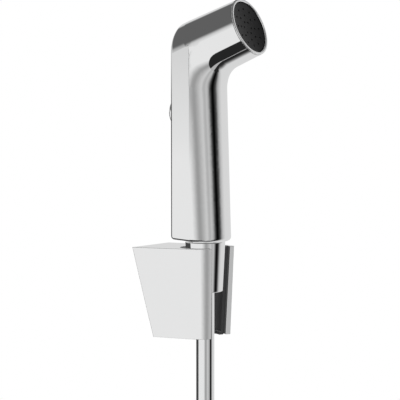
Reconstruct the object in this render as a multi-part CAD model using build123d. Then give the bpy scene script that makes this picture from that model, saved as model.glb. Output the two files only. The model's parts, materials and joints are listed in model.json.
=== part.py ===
from build123d import *
import math
import os

# Handheld bidet shower: handset, hose and wall holder.
# The handset, the hose nut and the socket are drawn in the handset's own axes: Z runs up the
# handle, +Y points to the wall and the origin is the centre of the handle's foot.
# Everything is then leaned into the wall's axes: the wall is the plane Y = 0, +Z is up and the
# origin is the middle of the holder's wall face.

# Place of the handset against the wall
lean = 15.0
wall_reach = 34.15
running_gap = 0.05
seat_gap = 0.1

# Handle
handle_half_width = 19.0
handle_back = 13.2
crease = -0.7
neck_height = 91.3
neck_front = -11.7
foot_front = -15.1
handle_wall = 2.4
foot_block = 14.0
corner_round = 2.2
foot_slope = 3.3

# Bend and head
bend_radius = 13.0
bend_steps = 6
head_rise = 19.3
head_taper = 2.25
head_radius = 17.6
head_reach = 19.1
head_wall = 1.0

# Spray face
ring_width = 1.5
ring_lip = 0.8
ring_depth = 2.3
plate_recess = 0.65
plate_dish = 1.18
plate_thickness = 1.5
plate_flange = 0.9
plate_rim_gap = 0.3
spray_hole = 0.5
spray_row_radii = (3.8, 7.65, 11.6)
spray_row_holes = (6, 8, 12)
chamber_depth = 20.0
chamber_wall = 1.6
shelf_width = 1.2
diffuser_depth = 8.0
diffuser_thickness = 1.2
diffuser_hole = 1.2
diffuser_holes = 8
diffuser_circle = 8.0
seal_cord = 1.6

# Button and valve
button_below_neck = 14.0
button_radius = 9.2
button_proud = 8.0
button_skirt = 2.0
button_wall = 1.6
button_boss = 1.4
button_travel = 3.0
button_round = 1.4
collar_flange = 11.4
collar_proud = 1.2
collar_wall = 1.2
collar_bore_gap = 0.3
collar_seat = 0.8
valve_radius = 8.5
valve_mouth = 7.0
valve_end_wall = 1.6
valve_end_gap = 0.6
valve_bore = 5.0
port_radius = 1.2
port_cover = 0.4
piston_groove = 2.4
piston_groove_depth = 1.4
piston_rear_land = 0.9
stem_radius = 2.5
gland_depth = 2.2
gland_lip = 0.5
stem_seal_cord = 1.2
button_spring_wire = 0.4
button_spring_turns = 5

# Water tubes
tube_radius = 4.5
tube_bore = 3.2
tube_bend_share = 0.8
tube_clearance = 1.6

# Inlet spigot and check valve
thread_radius = 10.2
spigot_length = 9.0
collar_radius = 12.0
collar_height = 1.5
collar_to_nut = 0.4
inlet_bore = 7.0
check_radius = 6.9
check_length = 12.0
check_seat = 2.0
poppet_radius = 4.0
poppet_head = 1.6
poppet_stem = 1.2
poppet_stem_length = 9.0
check_spring_wire = 0.35
check_spring_turns = 5
washer_thickness = 2.0

# Hose nut and hose end
nut_top_radius = 12.25
nut_end_radius = 10.7
nut_length = 30.5
nut_round = 0.5
flange_radius = 9.6
flange_thickness = 2.0
barb_radius = 3.0
barb_bore = 2.2
ferrule_radius = 6.45
ferrule_length = 14.5

# Hose
hose_radius = 5.6
hose_straight_end = -113.0
coil_radius = 56.0
coil_turns = 3
coil_pitch = 11.4
coil_drop = 150.0
coil_skin = 0.3
tie_width = 6.0
tie_thickness = 1.2

# Supply end
supply_ferrule_length = 16.0
supply_flats = 24.0
supply_nut_length = 14.0
supply_nut_wall = 2.4
thread_relief = 0.4
thread_to_washer = 0.3

# Holder
holder_top = -6.2
holder_height = 54.8
clip_top_radius = 17.9
clip_end_radius = 15.6
back_half_top = 19.2
back_half_end = 17.4
shell_wall = 2.4
liner_wall = 3.2
liner_edge = 1.55
liner_gap = 0.3
liner_lip = 3.0
liner_lip_bore = 8.6
slot_half_angle = 43.5
groove_angle = 14.0
top_slope = 1.2
end_slope = 2.0
end_overrun = 3.0
plate_gap = 0.3
wall_plate_thickness = 3.0
wall_hole_radius = 2.25
wall_hole_spacing = 26.0
wall_head_radius = 4.3
wall_head_depth = 1.6
lug_width = 12.0
lug_height = 5.0
lock_radius = 1.5
lock_length = 6.0
lock_wall = 1.4
lock_clearance = 1.0

button_height = neck_height - button_below_neck
foot_tilt = math.radians(foot_slope)
foot_low = (foot_front - handle_back) * math.tan(foot_tilt)
cut_reach = 4 * neck_height
piston_front = -port_radius - port_cover
valve_front = piston_front - button_travel - valve_end_gap - valve_end_wall
holder_foot = holder_top - holder_height
holder_middle = holder_top - holder_height / 2
nut_top = -collar_height - collar_to_nut
nut_end = nut_top - nut_length
face_up = Vector(0, math.sin(math.radians(head_rise)), math.cos(math.radians(head_rise)))
face_out = Vector(0, -math.cos(math.radians(head_rise)), math.sin(math.radians(head_rise)))
bend_centre = Vector(0, neck_front - bend_radius, neck_height)
under_rise = math.radians(head_rise + head_taper)
under_start = bend_centre + Vector(0, math.sin(under_rise), math.cos(under_rise)) * bend_radius
under_end = under_start + Vector(0, -math.cos(under_rise), math.sin(under_rise)) * head_reach
face_centre = under_end + face_up * head_radius
axis_crossing = face_centre - face_out * (-face_centre.Y / -face_out.Y)


def leaned(shape):
    """Moves a shape from the handset's axes into the wall's axes."""
    return Location((0, 0, 0), (lean, 0, 0)) * Location((0, -wall_reach, -holder_middle)) * shape


def leaned_point(y, z):
    """The wall's Y and Z of a point on the handset's middle plane."""
    angle = math.radians(lean)
    dy = y - wall_reach
    dz = z - holder_middle
    return (dy * math.cos(angle) - dz * math.sin(angle), dy * math.sin(angle) + dz * math.cos(angle))


def disc(radius, low, high):
    """Upright cylinder between two heights."""
    return Pos(0, 0, low) * Cylinder(radius, high - low, align=(Align.CENTER, Align.CENTER, Align.MIN))


def sleeve(outer, inner, low, high):
    """Upright tube between two heights."""
    return disc(outer, low, high) - disc(inner, low - 1, high + 1)


def taper(low_radius, high_radius, low, high):
    """Upright cone frustum between two heights."""
    return Pos(0, 0, low) * Cone(
        low_radius, high_radius, high - low, align=(Align.CENTER, Align.CENTER, Align.MIN)
    )


def seal_ring(radius, cord, height):
    """Round seal on an upright axis."""
    return Pos(0, 0, height) * Torus(radius, cord / 2)


def spring(radius, wire, length, turns):
    """Helical spring standing on the origin."""
    coil = Helix(pitch=(length - 2 * wire) / turns, height=length - 2 * wire, radius=radius)
    section = Plane(origin=coil @ 0, z_dir=coil % 0) * Circle(wire)
    return Pos(0, 0, wire) * sweep(section, path=coil, is_frenet=True)


def at_face(shape, depth):
    """Puts an upright shape on the head's axis, a depth behind the face."""
    place = Plane(origin=face_centre - face_out * depth, x_dir=(1, 0, 0), z_dir=face_out)
    return place.location * shape


def at_button(shape):
    """Turns an upright shape so that its Z points out of the back of the handle."""
    return Plane(origin=(0, 0, button_height), x_dir=(1, 0, 0), z_dir=(0, 1, 0)).location * shape


def handle_section(height, front, inset):
    """Flat back and sides with one round front, set in from the outer faces."""
    half = handle_half_width - inset
    back = handle_back - inset
    with BuildSketch(Plane.XY.offset(height)) as section:
        with BuildLine():
            Polyline((-half, crease), (-half, back), (half, back), (half, crease))
            ThreePointArc((half, crease), (0, front + inset), (-half, crease))
        make_face()
    return section.sketch


def head_radius_at(depth):
    """Outer radius of the tapered head at a depth behind its rim."""
    return head_radius + depth * math.tan(math.radians(head_taper))


def bend_section(angle):
    """Round front of the handle in a plane that has turned round the bend's centre."""
    turned = math.radians(angle)
    reach = (crease - bend_centre.Y) / math.cos(turned)
    share = angle / (90 - head_rise - head_taper)
    half = handle_half_width + (head_radius_at(head_reach) - handle_half_width) * share
    depth = min(reach, bend_radius + half)
    along = Vector(0, math.cos(turned), math.sin(turned))
    plane = Plane(origin=bend_centre, x_dir=(1, 0, 0), z_dir=Vector(1, 0, 0).cross(along))
    with BuildSketch(plane) as section:
        with BuildLine():
            ThreePointArc((-half, depth), (0, bend_radius), (half, depth))
            Line((half, depth), (-half, depth))
        make_face()
    return section.sketch


def head_solid():
    """Head from the rim to the handle's back: a taper, then as wide as the handle."""
    taper_depth = (handle_half_width - head_radius) / math.tan(math.radians(head_taper))
    depth = (handle_back - face_centre.Y) / math.cos(math.radians(head_rise)) + head_radius
    head = taper(handle_half_width, head_radius, -taper_depth, 0)
    head = head + disc(handle_half_width, -depth, -taper_depth)
    before_back = Pos(0, handle_back - cut_reach / 2, axis_crossing.Z) * Box(cut_reach, cut_reach, cut_reach)
    return at_face(head, 0) & before_back


def handle_solid(inset, low):
    """Handle from a height up to the head's axis."""
    foot = handle_section(low, foot_front + (neck_front - foot_front) * low / neck_height, inset)
    neck = handle_section(neck_height, neck_front, inset)
    above_neck = extrude(neck, axis_crossing.Z - neck_height + handle_half_width)
    top_plane = Plane(origin=axis_crossing, x_dir=(1, 0, 0), z_dir=face_up)
    over_axis = extrude(top_plane * Rectangle(cut_reach, cut_reach), cut_reach)
    behind_crease = Pos(0, cut_reach / 2 + crease, 0) * Box(cut_reach, cut_reach, cut_reach)
    return loft([foot, neck]) + (above_neck & behind_crease) - over_axis


def below_foot():
    """Everything under the slanted plane of the handle's foot."""
    plane = Plane(
        origin=(0, handle_back, 0),
        x_dir=(1, 0, 0),
        z_dir=(0, -math.sin(foot_tilt), math.cos(foot_tilt)),
    )
    return extrude(plane * Rectangle(cut_reach, cut_reach), -cut_reach)


button_bore = button_radius + collar_bore_gap
button_hole_radius = button_bore + collar_wall + running_gap
head_bore = head_radius - head_wall
ring_bore = head_radius - ring_width


def make_handset_body():
    """Chromed shell with the handle's hollow, the head's bore and the foot's threaded hole."""
    turn = 90 - head_rise - head_taper
    bend = loft([bend_section(turn * step / bend_steps) for step in range(bend_steps + 1)])
    outer = handle_solid(0, 2 * foot_low) - below_foot() + bend + head_solid()
    foot_edges = outer.faces().sort_by(Axis.Z)[0].edges()
    back_edges = [edge for edge in outer.edges() if edge.bounding_box().min.Y > handle_back - 0.01]
    outer = outer.fillet(corner_round, ShapeList(set(foot_edges) | set(back_edges)))
    hollow = handle_solid(handle_wall, foot_block)
    back_inside = (handle_back - handle_wall - face_centre.Y) / math.cos(math.radians(head_rise))
    passage_radius = tube_radius + tube_clearance
    rise = math.tan(math.radians(head_rise)) * passage_radius
    passage = at_face(disc(passage_radius, rise - back_inside, -chamber_top), 0)
    upright = disc(passage_radius, neck_height - bend_radius, axis_crossing.Z)
    chamber = at_face(disc(head_bore, -chamber_top - chamber_depth - seat_gap, 1), 0)
    ring_seat = at_face(disc(2 * head_radius, -ring_lip, 1), 0)
    button_hole = at_button(disc(button_hole_radius, 0, cut_reach))
    foot_hole = disc(thread_radius + running_gap, foot_low - 1, foot_block + 1)
    foot_hole = foot_hole + disc(collar_radius + running_gap, foot_low - 1, 0)
    return outer - hollow - chamber - ring_seat - passage - upright - button_hole - foot_hole


def make_face_ring():
    """Thin bright ring pressed into the end of the head."""
    lip = sleeve(head_radius - running_gap, ring_bore, -ring_lip, 0)
    lip = lip.fillet(ring_lip * 0.4, lip.edges().filter_by(GeomType.CIRCLE).sort_by(Axis.Z)[-2:])
    skirt = sleeve(head_bore - running_gap, ring_bore, -ring_depth, -ring_lip)
    return at_face(lip + skirt, 0)


plate_bottom = plate_recess + plate_dish + plate_thickness
chamber_top = plate_bottom + seal_cord
chamber_radius = head_bore - running_gap


def make_spray_plate():
    """Dished plate with three rings of spray holes, held by its flange under the ring."""
    rim = ring_bore - plate_rim_gap
    blank = disc(rim, -plate_bottom, -plate_recess)
    blank = blank + disc(head_bore - running_gap, -plate_bottom, -plate_bottom + plate_flange)
    bowl_radius = (rim * rim + plate_dish * plate_dish) / (2 * plate_dish)
    blank = blank - Pos(0, 0, bowl_radius - plate_recess - plate_dish) * Sphere(bowl_radius)
    for radius, count in zip(spray_row_radii, spray_row_holes):
        for step in range(count):
            angle = 2 * math.pi * step / count
            place = Pos(radius * math.cos(angle), radius * math.sin(angle), 0)
            blank = blank - place * disc(spray_hole, -plate_bottom - 1, 0)
    return at_face(blank, 0)


def make_plate_seal():
    """Ring seal between the plate and the chamber's mouth."""
    ring = seal_ring(chamber_radius - seal_cord / 2 - seat_gap, seal_cord - running_gap, 0)
    return at_face(ring, plate_bottom + seal_cord / 2)


def make_head_chamber():
    """Cup behind the plate, fed through its back."""
    inside = chamber_radius - chamber_wall
    cup = disc(chamber_radius, 0, chamber_depth) - disc(inside, chamber_wall, chamber_depth + 1)
    cup = cup - disc(tube_bore, -1, chamber_wall + 1)
    shelf = sleeve(inside, inside - shelf_width, 0, chamber_depth - diffuser_depth)
    return at_face(cup + shelf, chamber_top + chamber_depth)


def make_flow_diffuser():
    """Disc with a ring of holes that lies on the chamber's shelf."""
    plate = disc(chamber_radius - chamber_wall - seat_gap, 0, diffuser_thickness)
    for step in range(diffuser_holes):
        angle = 2 * math.pi * step / diffuser_holes
        place = Pos(diffuser_circle * math.cos(angle), diffuser_circle * math.sin(angle), 0)
        plate = plate - place * disc(diffuser_hole, -1, diffuser_thickness + 1)
    return at_face(plate, chamber_top + diffuser_depth)


def make_head_tube():
    """Bent tube from the valve's top to the chamber's back."""
    start = Vector(0, 0, button_height + valve_radius - 0.6)
    end = face_centre - face_out * (chamber_top + chamber_depth)
    turn = (axis_crossing - start).get_angle(end - axis_crossing)
    shorter = min((axis_crossing - start).length, (end - axis_crossing).length)
    radius = tube_bend_share * shorter / math.tan(math.radians(turn / 2))
    path = FilletPolyline(start, axis_crossing, end, radius=radius)
    outer = sweep(Plane(origin=start, z_dir=(0, 0, 1)) * Circle(tube_radius), path=path)
    inner = sweep(Plane(origin=start, z_dir=(0, 0, 1)) * Circle(tube_bore), path=path)
    return outer - inner - at_button(disc(valve_radius, valve_front - 1, valve_mouth + 1))


def make_riser_tube():
    """Straight tube from the inlet spigot to the valve."""
    tube = sleeve(tube_radius, tube_bore, foot_block, button_height)
    return tube - at_button(disc(valve_radius, valve_front - 1, valve_mouth + 1))


def make_valve_housing():
    """Sleeve across the handle with a port below and a port above."""
    body = disc(valve_radius, valve_front, valve_mouth)
    body = body - disc(valve_bore, valve_front + valve_end_wall, valve_mouth + 1)
    body = at_button(body)
    ports = disc(port_radius, button_height - valve_radius - 1, button_height + valve_radius + 1)
    return body - ports


piston_rest = valve_mouth - gland_depth - seat_gap
crown = handle_back + button_proud


def make_valve_piston():
    """Spool with a groove, and a stem that reaches into the button."""
    land = disc(valve_bore - running_gap, piston_front, piston_rest)
    groove_top = piston_rest - piston_rear_land
    groove = sleeve(valve_bore + 1, valve_bore - piston_groove_depth, groove_top - piston_groove, groove_top)
    stem = disc(stem_radius, piston_rest, crown - button_wall)
    return at_button(land - groove + stem)


def make_button_spring():
    """Spring between the housing's mouth and the inside of the button."""
    inner = stem_radius + button_boss
    outer = button_radius - button_wall
    length = crown - button_wall - valve_mouth
    coil = spring((inner + outer) / 2, button_spring_wire, length, button_spring_turns)
    return at_button(Pos(0, 0, valve_mouth) * coil)


def make_valve_gland():
    """Ring in the valve's mouth that guides the stem."""
    ring = sleeve(valve_bore - running_gap, stem_radius + running_gap, valve_mouth - gland_depth, valve_mouth)
    low = valve_mouth - gland_depth + gland_lip
    groove = disc(stem_radius + stem_seal_cord, low, low + stem_seal_cord)
    return at_button(ring - groove)


def make_stem_seal():
    """Ring seal round the stem, in the gland's groove."""
    height = valve_mouth - gland_depth + gland_lip + stem_seal_cord / 2
    cord = stem_seal_cord - 2 * running_gap
    return at_button(seal_ring(stem_radius + running_gap + cord / 2, cord, height))


def make_button_collar():
    """Ring in the back of the handle that the button slides in."""
    flange = sleeve(collar_flange, button_bore, handle_back, handle_back + collar_proud)
    flange = flange.fillet(collar_proud * 0.4, flange.edges().filter_by(GeomType.CIRCLE).sort_by(Axis.Z)[-2:])
    skirt = sleeve(button_bore + collar_wall, button_bore, valve_mouth, handle_back)
    seat = sleeve(button_bore + collar_wall, valve_radius - collar_wall, valve_mouth, valve_mouth + collar_seat)
    return at_button(flange + skirt + seat)


def make_thumb_button():
    """Domed round cap with a skirt and a boss on the stem."""
    cap = disc(button_radius, handle_back - button_skirt, crown)
    cap = cap.fillet(button_round, cap.edges().filter_by(GeomType.CIRCLE).sort_by(Axis.Z)[-1:])
    cap = cap - disc(button_radius - button_wall, handle_back - button_skirt - 1, crown - button_wall)
    low = handle_back - button_skirt
    boss = sleeve(stem_radius + button_boss, stem_radius + running_gap, low, crown - button_wall)
    return at_button(cap + boss)


def make_inlet_connector():
    """Spigot with a collar under the foot and a thread above and below."""
    body = disc(thread_radius, -collar_height - spigot_length, foot_block)
    body = body + disc(collar_radius, -collar_height, 0)
    low = -collar_height - spigot_length
    body = body - disc(inlet_bore, low - 1, low + check_length)
    return body - disc(tube_bore, low, foot_block + 1)


check_foot = -collar_height - spigot_length


def make_check_valve_body():
    """Sleeve with a seat at its foot and a guide across its top."""
    body = sleeve(check_radius, poppet_radius + 1.2, check_foot, check_foot + check_length - 0.2)
    seat = sleeve(check_radius, poppet_radius - 0.8, check_foot, check_foot + check_seat)
    guide_low = check_foot + check_length - 1.8
    guide = sleeve(check_radius, poppet_stem + running_gap, guide_low, check_foot + check_length - 0.2)
    for angle in (0, 120, 240):
        slot = Rot(0, 0, angle) * Pos(3.3, 0, guide_low + 0.8) * Cylinder(1.2, 4)
        guide = guide - slot
    return body + seat + guide


def make_check_valve_poppet():
    """Disc and stem that the water lifts."""
    low = check_foot + check_seat + running_gap
    stem_top = low + poppet_head + poppet_stem_length
    return disc(poppet_radius, low, low + poppet_head) + disc(poppet_stem, low, stem_top)


def make_check_valve_spring():
    """Light spring that closes the poppet."""
    low = check_foot + check_seat + running_gap + poppet_head
    high = check_foot + check_length - 1.8
    return Pos(0, 0, low) * spring(poppet_radius - 1.4, check_spring_wire, high - low, check_spring_turns)


washer_top = check_foot - running_gap
washer_foot = washer_top - washer_thickness
flange_top = washer_foot - running_gap
flange_foot = flange_top - flange_thickness
ferrule_top = flange_foot - seat_gap
ferrule_foot = ferrule_top - ferrule_length


def make_inlet_washer():
    """Flat gasket between the spigot and the hose's flange."""
    return sleeve(flange_radius, barb_radius + 1.5, washer_foot, washer_top)


def make_hose_insert():
    """Flange and hollow barbed stem of the hose end."""
    stem_foot = ferrule_foot + 1.0
    insert = disc(flange_radius, flange_foot, flange_top) + disc(barb_radius, stem_foot, flange_foot)
    for step in range(3):
        low = stem_foot + 1.5 + 3.5 * step
        insert = insert + taper(barb_radius, barb_radius + 0.6, low, low + 2.5)
    return insert - disc(barb_bore, stem_foot - 1, flange_top + 1)


def make_hose_ferrule():
    """Sleeve round the hose's end, with the hose's wall inside it."""
    body = disc(ferrule_radius, ferrule_foot, ferrule_top)
    return body - disc(barb_radius + 0.6 + running_gap, ferrule_foot + 1.0 - 0.1, ferrule_top + 1)


def make_hose_nut():
    """Conical nut: a thread above, a shoulder that the flange hangs on, a bore for the ferrule."""
    nut = taper(nut_end_radius, nut_top_radius, nut_end, nut_top)
    nut = nut.fillet(nut_round, nut.edges().filter_by(GeomType.CIRCLE))
    shoulder = flange_foot - running_gap
    nut = nut - disc(thread_radius + running_gap, shoulder, nut_top + 1)
    return nut - disc(ferrule_radius + running_gap, nut_end - 1, shoulder + 1)


def nut_radius(height):
    """Outer radius of the conical nut at a height, also past its end."""
    share = (nut_top - height) / nut_length
    return nut_top_radius + (nut_end_radius - nut_top_radius) * share


def holder_outline(height, inset):
    """Plan of the holder: straight flanks tangent to the round clip."""
    share = (holder_top - height) / holder_height
    clip = clip_top_radius + (clip_end_radius - clip_top_radius) * share - inset
    half = back_half_top + (back_half_end - back_half_top) * share
    wall_depth = wall_reach + (height - holder_middle) * math.tan(math.radians(lean))
    flank = math.atan2(half, wall_depth) + math.acos((clip + inset) / math.hypot(half, wall_depth))
    touch = (clip * math.sin(flank), clip * math.cos(flank))
    depth = 2 * wall_reach
    half = touch[0] - (depth - touch[1]) / math.tan(flank)
    with BuildSketch(Plane.XY.offset(height)) as outline:
        with BuildLine():
            Line((-half, depth), (half, depth))
            Line((half, depth), touch)
            ThreePointArc(touch, (0, -clip), (-touch[0], touch[1]))
            Line((-touch[0], touch[1]), (-half, depth))
        make_face()
    return outline.sketch


def wall_plane():
    """The wall's face, in the handset's axes, facing into the wall."""
    return Plane(
        origin=(0, wall_reach, holder_middle),
        x_dir=(1, 0, 0),
        z_dir=(0, math.cos(math.radians(lean)), -math.sin(math.radians(lean))),
    )


def slot_wedge(half_angle, low, high):
    """Wedge that opens the socket towards the front."""
    side = math.radians(half_angle)
    corner = (cut_reach * math.sin(side), -cut_reach * math.cos(side))
    with BuildSketch(Plane.XY.offset(low)) as wedge:
        with BuildLine():
            Polyline((0, 0), corner, (0, -2 * cut_reach), (-corner[0], corner[1]), close=True)
        make_face()
    return extrude(wedge.sketch, high - low)


def bore_cone(extra, low, high):
    """Cone round the nut, grown by a distance."""
    return taper(nut_radius(low) + extra, nut_radius(high) + extra, low, high)


def past_end(height, slope, side):
    """Everything past the holder's top or foot, a plane that rises from the wall to the front."""
    turned = math.radians(slope)
    wall_depth = wall_reach + (height - holder_middle) * math.tan(math.radians(lean))
    normal = (0, math.sin(turned), math.cos(turned))
    plane = Plane(origin=(0, wall_depth, height), x_dir=(1, 0, 0), z_dir=normal)
    return extrude(plane * Rectangle(cut_reach, cut_reach), side * cut_reach)


holder_low = holder_foot - end_overrun
holder_high = holder_top + end_overrun


def past_both_ends():
    """Everything above the holder's top and under its foot."""
    return past_end(holder_top, top_slope, 1) + past_end(holder_foot, end_slope, -1)


lock_top = holder_foot + shell_wall + plate_gap + lug_height
socket_outside = liner_gap + liner_wall + shell_wall
lock_reach = nut_radius(lock_top) + socket_outside + lock_clearance + lock_wall + lock_radius


def make_holder_shell():
    """Wedge-shaped shell: closed top and foot, hollow behind the socket, open towards the wall."""
    wall = wall_plane()
    outer = loft([holder_outline(holder_low, 0), holder_outline(holder_high, 0)])
    outer = outer - extrude(wall * Rectangle(cut_reach, cut_reach), cut_reach) - past_both_ends()
    room = loft([
        holder_outline(holder_foot + shell_wall, shell_wall),
        holder_outline(holder_top - shell_wall, shell_wall),
    ])
    liner_outside = liner_gap + liner_wall
    tube = bore_cone(socket_outside, holder_low, holder_high)
    bore = bore_cone(liner_outside, holder_low - 1, holder_high + 1)
    lock_hole = disc(lock_radius + running_gap, holder_foot - 1, holder_foot + shell_wall + 1)
    slot = slot_wedge(slot_half_angle, holder_low - 1, holder_high + 1)
    return outer - (room - tube) - bore - slot - Pos(0, lock_reach, 0) * lock_hole


def make_socket_liner():
    """Plastic cone in the socket with the same slot, a groove behind each edge and a lip at its foot."""
    outside = liner_gap + liner_wall
    liner = bore_cone(outside - running_gap, holder_low, holder_high) - past_both_ends()
    liner = liner - bore_cone(liner_gap, holder_foot + liner_lip, holder_high + 1)
    liner = liner - disc(liner_lip_bore, holder_foot - 1, holder_foot + liner_lip + 1)
    groove = bore_cone(outside, holder_low, holder_high)
    groove = groove - bore_cone(liner_gap + liner_edge, holder_low, holder_high)
    liner = liner - (groove & slot_wedge(slot_half_angle + groove_angle, holder_low, holder_high))
    return liner - slot_wedge(slot_half_angle, holder_low - 1, holder_high + 1)


def make_wall_plate():
    """Plate inside the shell's back, with two countersunk holes and a lug for the grub screw."""
    turn = math.radians(lean)
    wall = wall_plane()
    room = loft([
        holder_outline(holder_foot + shell_wall + plate_gap, shell_wall + plate_gap),
        holder_outline(holder_top - shell_wall - plate_gap, shell_wall + plate_gap),
    ])
    slab = extrude(wall * Rectangle(cut_reach, cut_reach), -wall_plate_thickness)
    plate = leaned(room & slab)
    for side in (-1, 1):
        hole = Pos(0, 0, side * wall_hole_spacing / 2)
        plate = plate - hole * Rot(90, 0, 0) * Cylinder(wall_hole_radius, 3 * wall_plate_thickness)
        sink = Cone(wall_head_radius, wall_hole_radius, wall_head_depth)
        plate = plate - hole * Pos(0, wall_head_depth / 2 - wall_plate_thickness, 0) * Rot(-90, 0, 0) * sink
    low = holder_foot + shell_wall + plate_gap
    lug_back = wall_reach - (holder_middle - low) * math.tan(turn) - wall_plate_thickness / 2
    lug_front = lock_reach - lock_radius - lock_wall
    lug_place = Pos(0, (lug_back + lug_front) / 2, low + lug_height / 2)
    lug = lug_place * Box(lug_width, lug_back - lug_front, lug_height)
    lug = lug - Pos(0, lock_reach, 0) * disc(lock_radius + running_gap, low - 1, low + lug_height + 1)
    return plate + leaned(lug)


def make_lock_screw():
    """Grub screw through the shell's foot into the plate's lug."""
    low = holder_foot + 0.5
    screw = disc(lock_radius, low, low + lock_length)
    socket = extrude(Plane.XY.offset(low - 0.1) * RegularPolygon(0.8, 6), 1.6)
    return Pos(0, lock_reach, 0) * (screw - socket)


# Hose route in the wall's axes: straight out of the nut, upright, then into the coil
exit_y, exit_z = leaned_point(0, ferrule_foot)
bend_y, bend_z = leaned_point(0, hose_straight_end)
coil_z = -coil_drop
coil_x = -coil_radius
coil_half = hose_radius + coil_skin
beside_ferrule = coil_radius - ferrule_radius - coil_skin
coil_lead = math.sqrt((coil_radius + coil_half) ** 2 - beside_ferrule ** 2)
lead_z = coil_z + coil_lead


def make_hose():
    """Hose from the ferrule to the top of the coil's lead."""
    hose_y = bend_y + 1.0
    start = Vector(0, exit_y, exit_z)
    knee = Vector(0, bend_y, bend_z)
    end = Vector(0, bend_y, lead_z)
    turn = (knee - start).get_angle(end - knee)
    shorter = min((knee - start).length, (end - knee).length)
    radius = 0.45 * shorter / math.tan(math.radians(turn / 2))
    path = FilletPolyline(start, knee, end, radius=radius)
    tube = sweep(Plane(origin=start, z_dir=path % 0) * Circle(hose_radius), path=path)
    expected = math.pi * hose_radius ** 2 * path.length
    print("hose bend radius", round(radius, 1))
    print("hose volume over its section times length", round(tube.volume / expected, 5))
    return tube


coil_first_y = bend_y
coil_last_y = bend_y - coil_turns * coil_pitch


def make_hose_coil():
    """Closed outer shape of the turns, with the straight entry and the hanging end."""
    deep = coil_first_y - coil_last_y + 2 * coil_half
    middle = (coil_first_y + coil_last_y) / 2
    ring = Cylinder(coil_radius + coil_half, deep) - Cylinder(coil_radius - coil_half, deep + 2)
    ring = Pos(coil_x, middle, coil_z) * Rot(90, 0, 0) * ring
    entry = Pos(0, coil_first_y, 0) * disc(hose_radius, coil_z, lead_z)
    leaving = Pos(0, coil_last_y, 0) * disc(hose_radius, coil_z - coil_lead, coil_z)
    return ring + entry + leaving


def make_coil_tie(side):
    """Strap round the turns, above or below the coil's middle."""
    half = coil_half + seat_gap
    deep = coil_first_y - coil_last_y + 2 * half
    middle = (coil_first_y + coil_last_y) / 2
    band = Box(tie_width, deep + 2 * tie_thickness, 2 * (half + tie_thickness))
    band = band - Box(tie_width + 2, deep, 2 * half)
    return Pos(coil_x, middle, coil_z + side * coil_radius) * band


def make_upper_tie():
    """Strap at the top of the coil."""
    return make_coil_tie(1)


def make_lower_tie():
    """Strap at the bottom of the coil."""
    return make_coil_tie(-1)


supply_top = coil_z - coil_lead
supply_foot = supply_top - supply_ferrule_length


def at_supply(shape):
    """Puts an upright shape under the hanging end of the hose."""
    return Pos(0, coil_last_y, 0) * shape


def make_supply_ferrule():
    """Sleeve at the hanging end, closed round the hose."""
    body = disc(ferrule_radius, supply_foot, supply_top)
    return at_supply(body - disc(barb_radius + running_gap, supply_foot - 1, supply_top - 1.0))


def make_supply_insert():
    """Hollow stem and flange that the supply nut hangs on."""
    stem = disc(barb_radius, supply_foot, supply_top - 1.1)
    flange = disc(flange_radius, supply_foot - flange_thickness, supply_foot)
    return at_supply(stem + flange - disc(barb_bore, supply_foot - 5, supply_top))


supply_nut_top = supply_foot + supply_nut_wall + running_gap


def make_supply_nut():
    """Hexagon nut that turns on the flange."""
    low = supply_nut_top - supply_nut_length
    outline = RegularPolygon(supply_flats / 2, 6, major_radius=False)
    hexagon = extrude(Plane.XY.offset(low) * outline, supply_nut_length)
    rounding = taper(supply_flats / 2 + 4, supply_flats / 2 + 0.4, supply_nut_top - 4, supply_nut_top)
    rounding = rounding + disc(supply_flats, low - 1, supply_nut_top - 4)
    nut = hexagon & rounding
    thread_end = supply_foot - flange_thickness - running_gap - washer_thickness - thread_to_washer
    nut = nut - disc(thread_radius + running_gap, low - 1, thread_end)
    nut = nut - disc(thread_radius + thread_relief, thread_end, supply_foot + running_gap)
    return at_supply(nut - disc(ferrule_radius + running_gap, low, supply_nut_top + 1))


def make_supply_washer():
    """Flat gasket inside the supply nut."""
    top = supply_foot - flange_thickness - running_gap
    return at_supply(sleeve(flange_radius, barb_radius + 1.5, top - washer_thickness, top))


in_handset_axes = {
    "handset_body": make_handset_body,
    "face_ring": make_face_ring,
    "spray_plate": make_spray_plate,
    "plate_seal": make_plate_seal,
    "head_chamber": make_head_chamber,
    "flow_diffuser": make_flow_diffuser,
    "head_tube": make_head_tube,
    "riser_tube": make_riser_tube,
    "valve_housing": make_valve_housing,
    "valve_piston": make_valve_piston,
    "button_spring": make_button_spring,
    "valve_gland": make_valve_gland,
    "stem_seal": make_stem_seal,
    "button_collar": make_button_collar,
    "thumb_button": make_thumb_button,
    "inlet_connector": make_inlet_connector,
    "check_valve_body": make_check_valve_body,
    "check_valve_poppet": make_check_valve_poppet,
    "check_valve_spring": make_check_valve_spring,
    "inlet_washer": make_inlet_washer,
    "hose_nut": make_hose_nut,
    "hose_insert": make_hose_insert,
    "hose_ferrule": make_hose_ferrule,
    "holder_shell": make_holder_shell,
    "socket_liner": make_socket_liner,
    "lock_screw": make_lock_screw,
}
in_wall_axes = {
    "wall_plate": make_wall_plate,
    "hose": make_hose,
    "hose_coil": make_hose_coil,
    "upper_tie": make_upper_tie,
    "lower_tie": make_lower_tie,
    "supply_ferrule": make_supply_ferrule,
    "supply_insert": make_supply_insert,
    "supply_nut": make_supply_nut,
    "supply_washer": make_supply_washer,
}

os.makedirs("parts", exist_ok=True)
for name, make in in_handset_axes.items():
    export_step(leaned(make()), f"parts/{name}.step")
for name, make in in_wall_axes.items():
    export_step(make(), f"parts/{name}.step")
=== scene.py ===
import json
import math

import bmesh
import bpy
from mathutils import Matrix, Vector

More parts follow.
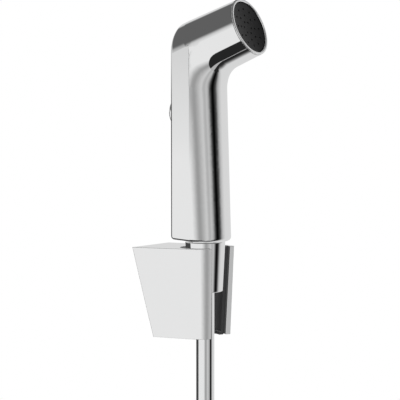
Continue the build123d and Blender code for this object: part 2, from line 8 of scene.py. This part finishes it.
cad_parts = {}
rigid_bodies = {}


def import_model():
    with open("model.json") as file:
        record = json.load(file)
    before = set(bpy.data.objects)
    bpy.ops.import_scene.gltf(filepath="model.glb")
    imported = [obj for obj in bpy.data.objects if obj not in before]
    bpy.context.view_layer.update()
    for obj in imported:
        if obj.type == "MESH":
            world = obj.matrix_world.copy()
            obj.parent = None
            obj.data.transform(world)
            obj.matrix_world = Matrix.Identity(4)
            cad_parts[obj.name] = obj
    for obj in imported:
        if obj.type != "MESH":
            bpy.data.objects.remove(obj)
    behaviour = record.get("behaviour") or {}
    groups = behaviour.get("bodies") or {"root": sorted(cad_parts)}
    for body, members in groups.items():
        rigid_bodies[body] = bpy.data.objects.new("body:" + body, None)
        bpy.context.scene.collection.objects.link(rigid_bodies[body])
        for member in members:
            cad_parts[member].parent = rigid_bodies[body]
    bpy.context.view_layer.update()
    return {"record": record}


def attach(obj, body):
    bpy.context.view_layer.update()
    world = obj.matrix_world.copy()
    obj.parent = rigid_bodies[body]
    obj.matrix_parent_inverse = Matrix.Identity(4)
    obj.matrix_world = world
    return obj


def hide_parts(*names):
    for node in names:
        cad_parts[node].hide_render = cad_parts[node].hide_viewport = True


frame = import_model()

# Sizes that the part's own source has or works out, with lengths in metres
LEAN = math.radians(15.0)
WALL_REACH = 0.03415
HOLDER_MIDDLE = -0.0336
HOSE_START = -0.0292
HOSE_KNEE = -0.113
HOSE_RADIUS = 0.0056
COIL_RADIUS = 0.056
COIL_TURNS = 3
COIL_PITCH = 0.0114
COIL_Z = -0.150
HEAD_RISE = math.radians(19.3)
FACE_CENTRE = (0, -0.031873, 0.127018)
PLATE_RIM = 0.0158
PLATE_RECESS = 0.00065
PLATE_DISH = 0.00118
SPRAY_ROWS = ((0.0038, 6), (0.00765, 8), (0.0116, 12))
RING_SIDE = 0.01760

# The handset's own axes have Z along its handle, and this turns them to the frame's axes
TO_WALL = Matrix.Rotation(LEAN, 4, "X") @ Matrix.Translation((0, -WALL_REACH, -HOLDER_MIDDLE))


def wall_point(x, y, z):
    """A point of the handset's own axes, in the frame's axes."""
    return TO_WALL @ Vector((x, y, z))


# Camera: the handset stands upright in the picture, so the camera leans with it
VIEW_AZIMUTH = math.radians(-56.0)
VIEW_PITCH = math.radians(-3.07)
VIEW_DISTANCE = 0.672
VIEW_HEIGHT = 0.0595
VIEW_SHIFT = 0.00324
FILM_WIDTH = 36.0
LENS_LENGTH = 99.0
NEAREST_SEEN = 0.01
FARTHEST_SEEN = 20.0
toward_camera = Vector((math.sin(VIEW_AZIMUTH), -math.cos(VIEW_AZIMUTH), 0))
picture_right = Vector((-toward_camera.y, toward_camera.x, 0))


def make_camera():
    """Long lens that looks slightly down at the handset."""
    data = bpy.data.cameras.new("camera")
    data.sensor_width = FILM_WIDTH
    data.lens = LENS_LENGTH
    data.clip_start = NEAREST_SEEN
    data.clip_end = FARTHEST_SEEN
    camera = bpy.data.objects.new("camera", data)
    bpy.context.scene.collection.objects.link(camera)
    place = toward_camera * VIEW_DISTANCE - picture_right * VIEW_SHIFT + Vector((0, 0, VIEW_HEIGHT))
    back = toward_camera * math.cos(VIEW_PITCH) - Vector((0, 0, math.sin(VIEW_PITCH)))
    up = back.cross(picture_right)
    turn = Matrix((picture_right, up, back)).transposed().to_4x4()
    camera.matrix_world = TO_WALL @ Matrix.Translation(place) @ turn
    bpy.context.scene.camera = camera


# Node trees


class Tree:
    """Short calls for building one node tree."""

    def __init__(self, tree):
        self.tree = tree

    def add(self, kind, **settings):
        """Adds a node and sets its properties."""
        node = self.tree.nodes.new(kind)
        for name, value in settings.items():
            setattr(node, name, value)
        return node

    def join(self, source, target):
        """Links a socket, or sets a plain value."""
        if isinstance(source, bpy.types.NodeSocket):
            self.tree.links.new(source, target)
        else:
            target.default_value = source

    def maths(self, operation, *values):
        """One maths node on one to three values."""
        node = self.add("ShaderNodeMath", operation=operation)
        for index, value in enumerate(values):
            self.join(value, node.inputs[index])
        return node.outputs[0]

    def dot(self, vector, fixed):
        """Dot product with a fixed direction."""
        node = self.add("ShaderNodeVectorMath", operation="DOT_PRODUCT")
        self.join(vector, node.inputs[0])
        node.inputs[1].default_value = fixed
        return node.outputs["Value"]

    def ramp(self, value, low, high, kind="LINEAR"):
        """From 0 to 1 as a value goes from one limit to another."""
        node = self.add("ShaderNodeMapRange", interpolation_type=kind)
        self.join(value, node.inputs["Value"])
        node.inputs["From Min"].default_value = low
        node.inputs["From Max"].default_value = high
        return node.outputs["Result"]

    def step(self, value, low, high):
        """The same with soft ends."""
        return self.ramp(value, low, high, "SMOOTHSTEP")

    def mix(self, share, first, second):
        """Mixes two numbers or greys, which are a mix node's inputs 2 and 3."""
        node = self.add("ShaderNodeMix", data_type="FLOAT")
        self.join(share, node.inputs[0])
        self.join(first, node.inputs[2])
        self.join(second, node.inputs[3])
        return node.outputs[0]

    def noise(self, vector, scale, detail=2.0, roughness=0.5):
        """Noise value at a scale per metre."""
        node = self.add("ShaderNodeTexNoise")
        self.join(vector, node.inputs["Vector"])
        self.join(scale, node.inputs["Scale"])
        node.inputs["Detail"].default_value = detail
        node.inputs["Roughness"].default_value = roughness
        return node.outputs["Fac"]


# Studio: how bright the surroundings are round the object, from the camera's direction (0) by the
# right of the picture (90) to straight behind the object (180)
AROUND = (
    (-180, 0.700), (-177, 0.700), (-173, 0.060), (-97, 0.060), (-94, 0.820), (-20, 0.820), (-10, 0.620),
    (-2, 0.430), (3, 0.345), (8, 0.335), (16, 0.430), (28, 0.590), (32, 0.600), (37, 0.485), (41, 0.450),
    (48, 0.540), (53, 0.430), (60, 0.105), (65, 0.018), (69, 0.002), (74, 0.003), (80, 0.040),
    (84, 0.090), (92, 0.410), (100, 0.585), (111, 0.700), (180, 0.700),
)
WALL_GREY = 0.700
CEILING_GREY = 0.118
FLOOR_GREY = 0.019
STRIP_GREY = 0.45

# Where one part of the studio passes into the next, as elevations in degrees
FLAG_TOP = (1, 5)
FADE_SPAN = (-1, 8)
FRONT_FLOOR = (-52.5, -54.5)
BACK_FLOOR = (-58, -80)
STRIP_END = (-50, -56)

# The same to the side or towards the camera, as parts of a direction's length
FLAG_SIDE = (0.0, -0.03)
FLAG_BEHIND = (-0.06, -0.10)
FADE_SIDE = (-0.2, -0.6)
FLOOR_SIDES = (-0.02, 0.02)
LEFT_FADE = 0.27
CEILING_SLOPE = -0.318
CEILING_MIDDLE = 0.298
CEILING_LOWEST = 0.198
CEILING_BLUR = 0.09
STRIP_AZIMUTH = math.radians(41.0)
STRIP_FLARE = 0.17
STRIP_HALF_WIDTH = 0.034
STRIP_BLUR = 0.006


def heights(elevations):
    """Heights of two directions at two elevations in degrees."""
    return [math.sin(math.radians(degrees)) for degrees in elevations]


def make_world():
    """White paper for the camera and a studio of panels for every other ray."""
    world = bpy.data.worlds.new("studio")
    world.use_nodes = True
    bpy.context.scene.world = world
    world.node_tree.nodes.clear()
    tree = Tree(world.node_tree)
    direction = tree.add("ShaderNodeTexCoord").outputs["Generated"]
    turned = TO_WALL.to_3x3()
    right = tree.dot(direction, turned @ picture_right)
    near = tree.dot(direction, turned @ toward_camera)
    height = tree.dot(direction, turned @ Vector((0, 0, 1)))
    angle = tree.maths("MULTIPLY_ADD", tree.maths("ARCTAN2", right, near), 0.5 / math.pi, 0.5)
    ramp = tree.add("ShaderNodeValToRGB")
    tree.join(angle, ramp.inputs["Fac"])
    stops = ramp.color_ramp.elements
    while len(stops) > 1:
        stops.remove(stops[-1])
    for index, (degrees, grey) in enumerate(AROUND):
        place = (degrees + 180) / 360
        stop = stops[0] if index == 0 else stops.new(place)
        stop.position = place
        stop.color = (grey, grey, grey, 1)
    # The dark flag at the far left only stands as high as the camera
    far_left = tree.maths("MULTIPLY", tree.step(near, *FLAG_BEHIND), tree.step(right, *FLAG_SIDE))
    over_flag = tree.maths("MULTIPLY", far_left, tree.step(height, *heights(FLAG_TOP)))
    grey = tree.mix(over_flag, ramp.outputs["Color"], WALL_GREY)
    # The left panel fades a little towards its top
    to_left = tree.step(right, *FADE_SIDE)
    fade = tree.maths("MULTIPLY", to_left, tree.ramp(height, *heights(FADE_SPAN)))
    grey = tree.maths("MULTIPLY", grey, tree.maths("MULTIPLY_ADD", fade, -LEFT_FADE, 1.0))
    # The ceiling comes down lower in front than behind
    sloped_edge = tree.maths("MULTIPLY_ADD", near, CEILING_SLOPE, CEILING_MIDDLE)
    ceiling_edge = tree.maths("MAXIMUM", sloped_edge, CEILING_LOWEST)
    above_edge = tree.maths("SUBTRACT", height, ceiling_edge)
    grey = tree.mix(tree.step(above_edge, -CEILING_BLUR, CEILING_BLUR), grey, CEILING_GREY)
    # The floor is near black, and starts further down behind the object than in front
    front_floor = tree.step(height, *heights(FRONT_FLOOR))
    back_floor = tree.step(height, *heights(BACK_FLOOR))
    floor = tree.mix(tree.step(near, *FLOOR_SIDES), back_floor, front_floor)
    grey = tree.mix(floor, grey, FLOOR_GREY)
    # A light strip lies on the floor in front, narrower towards the middle
    along = toward_camera * math.cos(STRIP_AZIMUTH) + picture_right * math.sin(STRIP_AZIMUTH)
    across = picture_right * math.cos(STRIP_AZIMUTH) - toward_camera * math.sin(STRIP_AZIMUTH)
    outward = tree.dot(direction, turned @ along)
    half_width = tree.maths("MULTIPLY_ADD", outward, STRIP_FLARE, STRIP_HALF_WIDTH)
    off_middle = tree.maths("ABSOLUTE", tree.dot(direction, turned @ across))
    beside = tree.maths("SUBTRACT", off_middle, half_width)
    in_width = tree.step(beside, STRIP_BLUR, -STRIP_BLUR)
    strip = tree.maths("MULTIPLY", in_width, tree.step(height, *heights(STRIP_END)))
    grey = tree.mix(strip, grey, STRIP_GREY)
    studio = tree.add("ShaderNodeBackground")
    tree.join(grey, studio.inputs["Color"])
    paper = tree.add("ShaderNodeBackground")
    paper.inputs["Color"].default_value = (1, 1, 1, 1)
    rays = tree.add("ShaderNodeLightPath")
    choice = tree.add("ShaderNodeMixShader")
    tree.join(rays.outputs["Is Camera Ray"], choice.inputs[0])
    tree.join(studio.outputs[0], choice.inputs[1])
    tree.join(paper.outputs[0], choice.inputs[2])
    output = tree.add("ShaderNodeOutputWorld")
    tree.join(choice.outputs[0], output.inputs["Surface"])


# Materials

# Noise sizes are waves per metre, and depths are metres
METAL_CLOUDS = 55.0
METAL_FINE = 900.0
PLASTIC_CLOUDS = 120.0
PLASTIC_FINE = 2600.0
PLASTIC_WANDER = 0.12
METAL_EDGE = 0.0003
PLASTIC_EDGE = 0.0002
GRAIN_DEPTH = 0.0001
CLOUD_DETAIL = 3.0
FINE_ROUGHNESS = 0.6
EDGE_SAMPLES = 8
USUAL_SHINE = 0.5


def new_group(name, inputs, outputs):
    """An empty shader group with named sockets."""
    group = bpy.data.node_groups.new(name, "ShaderNodeTree")
    for label, kind in inputs:
        group.interface.new_socket(label, in_out="INPUT", socket_type="NodeSocket" + kind)
    for label, kind in outputs:
        group.interface.new_socket(label, in_out="OUTPUT", socket_type="NodeSocket" + kind)
    tree = Tree(group)
    return group, tree, tree.add("NodeGroupInput").outputs, tree.add("NodeGroupOutput").inputs


def make_clouding():
    """Group: a colour that wanders between two tints, and a fine value of its own."""
    inputs = (
        ("Place", "Vector"), ("First", "Color"), ("Second", "Color"), ("Size", "Float"),
        ("Fine Size", "Float"),
    )
    outputs = (("Colour", "Color"), ("Fine", "Float"))
    group, tree, given, results = new_group("clouding", inputs, outputs)
    cloud = tree.noise(given["Place"], given["Size"], CLOUD_DETAIL)
    # A mix node's colours are its inputs 6 and 7 and its output 2
    blend = tree.add("ShaderNodeMix", data_type="RGBA")
    tree.join(cloud, blend.inputs[0])
    tree.join(given["First"], blend.inputs[6])
    tree.join(given["Second"], blend.inputs[7])
    tree.join(blend.outputs[2], results["Colour"])
    fine = tree.noise(given["Place"], given["Fine Size"], roughness=FINE_ROUGHNESS)
    tree.join(fine, results["Fine"])
    return group


def make_worn_gloss():
    """Group: a roughness that wanders with a fine value."""
    inputs = (("Fine", "Float"), ("Middle", "Float"), ("Wander", "Float"))
    group, tree, given, results = new_group("worn_gloss", inputs, (("Roughness", "Float"),))
    swing = tree.maths("SUBTRACT", given["Fine"], 0.5)
    tree.join(tree.maths("MULTIPLY_ADD", swing, given["Wander"], given["Middle"]), results["Roughness"])
    return group


def make_soft_grain():
    """Group: a normal that rolls over sharp edges, with a fine grain on it."""
    inputs = (("Fine", "Float"), ("Grain", "Float"), ("Edge", "Float"))
    group, tree, given, results = new_group("soft_grain", inputs, (("Normal", "Vector"),))
    rolled = tree.add("ShaderNodeBevel", samples=EDGE_SAMPLES)
    tree.join(given["Edge"], rolled.inputs["Radius"])
    bump = tree.add("ShaderNodeBump")
    bump.inputs["Distance"].default_value = GRAIN_DEPTH
    tree.join(given["Grain"], bump.inputs["Strength"])
    tree.join(given["Fine"], bump.inputs["Height"])
    tree.join(rolled.outputs["Normal"], bump.inputs["Normal"])
    tree.join(bump.outputs["Normal"], results["Normal"])
    return group


clouding = make_clouding()
worn_gloss = make_worn_gloss()
soft_grain = make_soft_grain()


def use_group(tree, group, **values):
    """Places a group in a material and sets its inputs."""
    node = tree.add("ShaderNodeGroup", node_tree=group)
    for name, value in values.items():
        tree.join(value, node.inputs[name.replace("_", " ")])
    return node.outputs


def make_material(
    name, first, second, metallic, roughness, wander, grain, edge, size, fine_size, shine=USUAL_SHINE
):
    """Shaded solid: its colour, gloss and grain come from the shared groups."""
    material = bpy.data.materials.new(name)
    material.use_nodes = True
    tree = Tree(material.node_tree)
    shader = next(node for node in material.node_tree.nodes if node.type == "BSDF_PRINCIPLED")
    place = tree.add("ShaderNodeTexCoord").outputs["Object"]
    tints = use_group(
        tree, clouding, Place=place, First=(*first, 1), Second=(*second, 1), Size=size, Fine_Size=fine_size
    )
    gloss = use_group(tree, worn_gloss, Fine=tints["Fine"], Middle=roughness, Wander=wander)
    relief = use_group(tree, soft_grain, Fine=tints["Fine"], Grain=grain, Edge=edge)
    tree.join(tints["Colour"], shader.inputs["Base Color"])
    tree.join(gloss["Roughness"], shader.inputs["Roughness"])
    tree.join(relief["Normal"], shader.inputs["Normal"])
    shader.inputs["Metallic"].default_value = metallic
    shader.inputs["Specular IOR Level"].default_value = shine
    return material


def make_metal(name, first, second, roughness, wander, grain=0.0, edge=METAL_EDGE):
    """Plated or bare metal."""
    return make_material(
        name, first, second, 1.0, roughness, wander, grain, edge, METAL_CLOUDS, METAL_FINE
    )


def make_plastic(name, first, second, roughness, grain, fine_size=PLASTIC_FINE, shine=USUAL_SHINE):
    """Moulded plastic or rubber with a fine spark grain."""
    return make_material(
        name, first, second, 0.0, roughness, PLASTIC_WANDER, grain, PLASTIC_EDGE, PLASTIC_CLOUDS,
        fine_size, shine,
    )


# Each slot's two tints, its roughness and its grain; a metal also has how far its roughness wanders
materials = {
    "chrome": make_metal("chrome", (0.935, 0.94, 0.942), (0.955, 0.955, 0.955), 0.02, 0.01, edge=0.0004),
    "spray_grey": make_plastic(
        "spray_grey", (0.010, 0.010, 0.011), (0.016, 0.016, 0.017), 0.42, 0.25, shine=0.22
    ),
    "liner_black": make_plastic("liner_black", (0.085, 0.086, 0.088), (0.110, 0.111, 0.113), 0.42, 0.25),
    "hose_silver": make_metal("hose_silver", (0.92, 0.925, 0.93), (0.95, 0.95, 0.95), 0.06, 0.03),
    "inner_plastic": make_plastic("inner_plastic", (0.72, 0.72, 0.70), (0.80, 0.80, 0.78), 0.45, 0.2),
    # Seal rubber: its own black, darkened further to near black as painted shade, so the nozzles carry the
    # spray holes' shade and the ring round the plate its gap's shade
    "seal_rubber": make_plastic(
        "seal_rubber", (0.002, 0.002, 0.0025), (0.005, 0.005, 0.006), 0.7, 0.3, 1400.0, 0.05
    ),
    "steel": make_metal("steel", (0.5, 0.51, 0.52), (0.6, 0.61, 0.62), 0.25, 0.1, 0.1),
    "brass": make_metal("brass", (0.72, 0.56, 0.28), (0.8, 0.64, 0.36), 0.2, 0.1, 0.08),
    "tie_plastic": make_plastic("tie_plastic", (0.025, 0.025, 0.027), (0.045, 0.045, 0.047), 0.5, 0.3),
}
satin_chrome = make_metal(
    "satin_chrome", (0.93, 0.935, 0.94), (0.955, 0.955, 0.955), 0.24, 0.08, 0.05, 0.0001
)


def dress_cad_nodes():
    """Gives every carried-over solid the material of its slot."""
    for part in frame["record"]["subparts"]:
        piece = bpy.data.objects[part["node"]]
        piece.data.materials.clear()
        piece.data.materials.append(materials[part["material_slot"]])


# Hose

# Straight hose above and below the level of the coil's middle, and guide points for each turn
COIL_LEAD = 0.0375
COIL_STEPS = 16
HOSE_SMOOTHNESS = 10


def hose_route():
    """Points of the hose: out of the nut along the handset's axis, upright, then round the coil."""
    first = wall_point(0, 0, HOSE_START)
    knee = wall_point(0, 0, HOSE_KNEE)
    lead_z = COIL_Z + COIL_LEAD
    before = wall_point(0, 0, HOSE_KNEE + knee.z - lead_z)
    points = [first, before, knee, Vector((0, knee.y, lead_z))]
    points.append(Vector((0, knee.y, COIL_Z + COIL_LEAD / 2)))
    # Guide points stand a little outside the circle, because the curve runs inside them
    grown = COIL_RADIUS / math.cos(math.pi / COIL_STEPS) ** 0.5
    last_y = knee.y - COIL_TURNS * COIL_PITCH
    for index in range(1, COIL_TURNS * COIL_STEPS):
        turn = 2 * math.pi * index / COIL_STEPS
        share = index / (COIL_TURNS * COIL_STEPS)
        y = knee.y + (last_y - knee.y) * share
        points.append(Vector((-COIL_RADIUS + grown * math.cos(turn), y, COIL_Z - grown * math.sin(turn))))
    points.append(Vector((0, last_y, COIL_Z - COIL_LEAD / 2)))
    points.append(Vector((0, last_y, COIL_Z - COIL_LEAD)))
    return points


def make_hose():
    """The whole hose as one smooth curve."""
    points = hose_route()
    data = bpy.data.curves.new("hose_run", "CURVE")
    data.dimensions = "3D"
    data.bevel_depth = HOSE_RADIUS
    data.bevel_resolution = HOSE_SMOOTHNESS
    data.resolution_u = HOSE_SMOOTHNESS
    data.use_fill_caps = True
    spline = data.splines.new("NURBS")
    spline.points.add(len(points) - 1)
    for point, place in zip(spline.points, points):
        point.co = (*place, 1)
    spline.order_u = 3
    spline.use_endpoint_u = True
    data.materials.append(materials["hose_silver"])
    hose = bpy.data.objects.new("hose_run", data)
    bpy.context.scene.collection.objects.link(hose)
    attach(hose, "holder")
    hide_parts("hose", "hose_coil")


# Spray face

# Profiles are radii and heights in metres from the middle of the spray face, in the order that
# turns their faces outward
NOZZLE = (
    (0.00049, -0.00100), (0.00049, -0.00014), (0.00062, -0.00012), (0.00063, 0.00003), (0.00058, 0.00009),
    (0.00032, 0.00009), (0.00025, 0.00002), (0.00021, -0.00010), (0.00020, -0.00060),
)
# Near-black ring at the plate's edge: painted shade that stands in for the shadowed gap between plate and
# ring
PAINTED_SHADE_RIM = (
    (0.01608, -0.00062), (0.01600, -0.00052), (0.01560, -0.00054), (0.01540, -0.00062), (0.01530, -0.00085),
)
SATIN_BAND = (
    (0.01752, -0.00079), (0.01758, -0.00076), (0.01760, -0.00070), (0.01760, -0.00018),
    (0.01755, -0.00006), (0.01743, 0.00001), (0.01728, 0.00004), (0.01630, 0.00004), (0.01612, 0.00000),
    (0.01608, -0.00010), (0.01608, -0.00060),
)
JOINT_LINE = ((0.01760, -0.00100), (0.01768, -0.00096), (0.01768, -0.00084), (0.01756, -0.00080))
NOZZLE_STEPS = 16
RIM_STEPS = 128
BAND_STEPS = 160

# A rib: places along it with the share of its section there, the section, and how deep its foot lies
RIB_STATIONS = ((-0.00070, 0.2), (-0.00060, 1.0), (-0.00030, 1.0), (-0.00020, 0.2))
RIB_SECTION = ((-0.00004, -0.00026), (0.00007, -0.00013), (0.00007, 0.00013), (-0.00004, 0.00026))
RIB_FOOT = 0.00004
RIB_COUNT = 136


def face_place():
    """From the spray face's own axes, with Z out of the face, to the frame's axes."""
    out = Vector((0, -math.cos(HEAD_RISE), math.sin(HEAD_RISE)))
    up = Vector((0, math.sin(HEAD_RISE), math.cos(HEAD_RISE)))
    turn = Matrix((Vector((1, 0, 0)), up, out)).transposed().to_4x4()
    return TO_WALL @ Matrix.Translation(FACE_CENTRE) @ turn


def plate_height(radius):
    """Height of the dished plate's surface at a distance from its middle."""
    bowl = (PLATE_RIM ** 2 + PLATE_DISH ** 2) / (2 * PLATE_DISH)
    return bowl - math.sqrt(bowl ** 2 - radius ** 2) - PLATE_RECESS - PLATE_DISH


def new_piece(name, vertices, faces):
    """A mesh object of its own, outside the scene."""
    mesh = bpy.data.meshes.new(name)
    mesh.from_pydata(vertices, [], faces)
    mesh.update()
    return bpy.data.objects.new(name, mesh)


def turned_faces(rows, steps, capped):
    """Outward faces of a profile turned round an axis: a closed ring, or a plug with two caps."""
    faces = []
    if capped:
        faces.append([step * rows + rows - 1 for step in range(steps)])
        faces.append([step * rows for step in reversed(range(steps))])
    for step in range(steps):
        after = (step + 1) % steps
        for row in range(rows - 1 if capped else rows):
            above = (row + 1) % rows
            faces.append((step * rows + row, after * rows + row, after * rows + above, step * rows + above))
    return faces


def turned_piece(name, profile, steps, capped=False):
    """A profile of radii and heights turned round the Z axis."""
    vertices = []
    for step in range(steps):
        turn = 2 * math.pi * step / steps
        for radius, height in profile:
            vertices.append((radius * math.cos(turn), radius * math.sin(turn), height))
    piece = new_piece(name, vertices, turned_faces(len(profile), steps, capped))
    piece.data.polygons.foreach_set("use_smooth", [True] * len(piece.data.polygons))
    return piece


def make_nozzle():
    """Rubber nozzle: a plug with a thin collar on the plate and a fine bore."""
    return turned_piece("nozzle", NOZZLE, NOZZLE_STEPS, True)


def make_rib():
    """Small bar along the ring's side, with sloped sides and ends."""
    vertices = []
    for along, share in RIB_STATIONS:
        for out, side in RIB_SECTION:
            vertices.append((out * share - RIB_FOOT * (1 - share), side, along))
    corners = len(RIB_SECTION)
    last = len(vertices) - corners
    faces = [tuple(reversed(range(corners))), tuple(range(last, len(vertices)))]
    for first in range(0, last, corners):
        for side in range(corners):
            after = (side + 1) % corners
            faces.append((first + side, first + after, first + after + corners, first + side + corners))
    return new_piece("rib", vertices, faces)


def place_on_face(piece, material):
    """Puts a piece drawn in the spray face's axes on the handset."""
    bpy.context.scene.collection.objects.link(piece)
    piece.data.transform(face_place())
    piece.data.materials.append(material)
    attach(piece, "handset")


def make_circle_tree():
    """Geometry nodes: copies of a piece in a circle, each turned outward."""
    group = bpy.data.node_groups.new("circle_of_pieces", "GeometryNodeTree")
    inputs = (
        ("Geometry", "Geometry"), ("Piece", "Object"), ("Count", "Int"), ("Radius", "Float"),
        ("Height", "Float"), ("Material", "Material"),
    )
    for label, kind in inputs:
        group.interface.new_socket(label, in_out="INPUT", socket_type="NodeSocket" + kind)
    group.interface.new_socket("Geometry", in_out="OUTPUT", socket_type="NodeSocketGeometry")
    tree = Tree(group)
    given = tree.add("NodeGroupInput").outputs
    turn = tree.maths("DIVIDE", tree.add("GeometryNodeInputIndex").outputs[0], given["Count"])
    turn = tree.maths("MULTIPLY", turn, 2 * math.pi)
    place = tree.add("ShaderNodeCombineXYZ")
    tree.join(tree.maths("MULTIPLY", tree.maths("COSINE", turn), given["Radius"]), place.inputs[0])
    tree.join(tree.maths("MULTIPLY", tree.maths("SINE", turn), given["Radius"]), place.inputs[1])
    tree.join(given["Height"], place.inputs[2])
    points = tree.add("GeometryNodePoints")
    tree.join(given["Count"], points.inputs["Count"])
    tree.join(place.outputs[0], points.inputs["Position"])
    rotation = tree.add("FunctionNodeAxisAngleToRotation")
    rotation.inputs["Axis"].default_value = (0, 0, 1)
    tree.join(turn, rotation.inputs["Angle"])
    source = tree.add("GeometryNodeObjectInfo")
    tree.join(given["Piece"], source.inputs["Object"])
    copies = tree.add("GeometryNodeInstanceOnPoints")
    tree.join(points.outputs[0], copies.inputs["Points"])
    tree.join(source.outputs["Geometry"], copies.inputs["Instance"])
    tree.join(rotation.outputs[0], copies.inputs["Rotation"])
    solid = tree.add("GeometryNodeRealizeInstances")
    tree.join(copies.outputs[0], solid.inputs["Geometry"])
    dressed = tree.add("GeometryNodeSetMaterial")
    tree.join(solid.outputs[0], dressed.inputs["Geometry"])
    tree.join(given["Material"], dressed.inputs["Material"])
    tree.join(dressed.outputs[0], tree.add("NodeGroupOutput").inputs[0])
    return group


def make_circles(name, piece, rows, material):
    """One object of circles of a piece on the spray face; a row is a count, a radius and a height."""
    whole = bpy.data.objects.new(name, bpy.data.meshes.new(name))
    maker = bpy.data.objects.new(name + "_maker", bpy.data.meshes.new(name + "_maker"))
    bpy.context.scene.collection.objects.link(maker)
    modifier = maker.modifiers.new("circle", "NODES")
    modifier.node_group = circle_tree
    shape = bmesh.new()
    for count, radius, height in rows:
        values = {"Piece": piece, "Count": count, "Radius": radius, "Height": height, "Material": material}
        for item in circle_tree.interface.items_tree:
            if item.name in values:
                modifier[item.identifier] = values[item.name]
        maker.update_tag()
        bpy.context.view_layer.update()
        ready = maker.evaluated_get(bpy.context.evaluated_depsgraph_get())
        shape.from_mesh(bpy.data.meshes.new_from_object(ready))
    maker.modifiers.remove(modifier)
    bpy.data.objects.remove(maker)
    shape.to_mesh(whole.data)
    shape.free()
    place_on_face(whole, material)


circle_tree = make_circle_tree()


def make_spray_face():
    """Nozzles in the plate's holes, a near-black ring of painted shade round the plate, and the ring's
    satin band with its ribs.
    """
    # This near-black rubber also serves as painted shade: the ring round the plate carries the gap's shade
    rubber = materials["seal_rubber"]
    rows = [(count, radius, plate_height(radius)) for radius, count in SPRAY_ROWS]
    # The nozzles' near-black is partly the rubber's own black and partly painted shade of the spray holes
    make_circles("spray_nozzles", make_nozzle(), rows, rubber)
    # Painted shade: a near-black ring in the gap round the plate's edge
    place_on_face(turned_piece("plate_rim", PAINTED_SHADE_RIM, RIM_STEPS), rubber)
    place_on_face(turned_piece("ring_band", SATIN_BAND, BAND_STEPS), satin_chrome)
    place_on_face(turned_piece("ring_joint", JOINT_LINE, RIM_STEPS), rubber)
    make_circles("ring_ribs", make_rib(), [(RIB_COUNT, RING_SIDE, 0.0)], satin_chrome)


def hide_from_mirrors():
    """The head's underside would mirror the put-away coil, so the plating mirrors the studio alone."""
    for piece in bpy.data.objects:
        if piece.type in {"MESH", "CURVE"}:
            piece.visible_glossy = False


def set_plain_view():
    """The picture keeps the greys as they are rendered."""
    settings = bpy.context.scene.view_settings
    settings.view_transform = "Standard"
    settings.look = "None"


make_camera()
make_world()
dress_cad_nodes()
make_hose()
make_spray_face()
hide_from_mirrors()
set_plain_view()
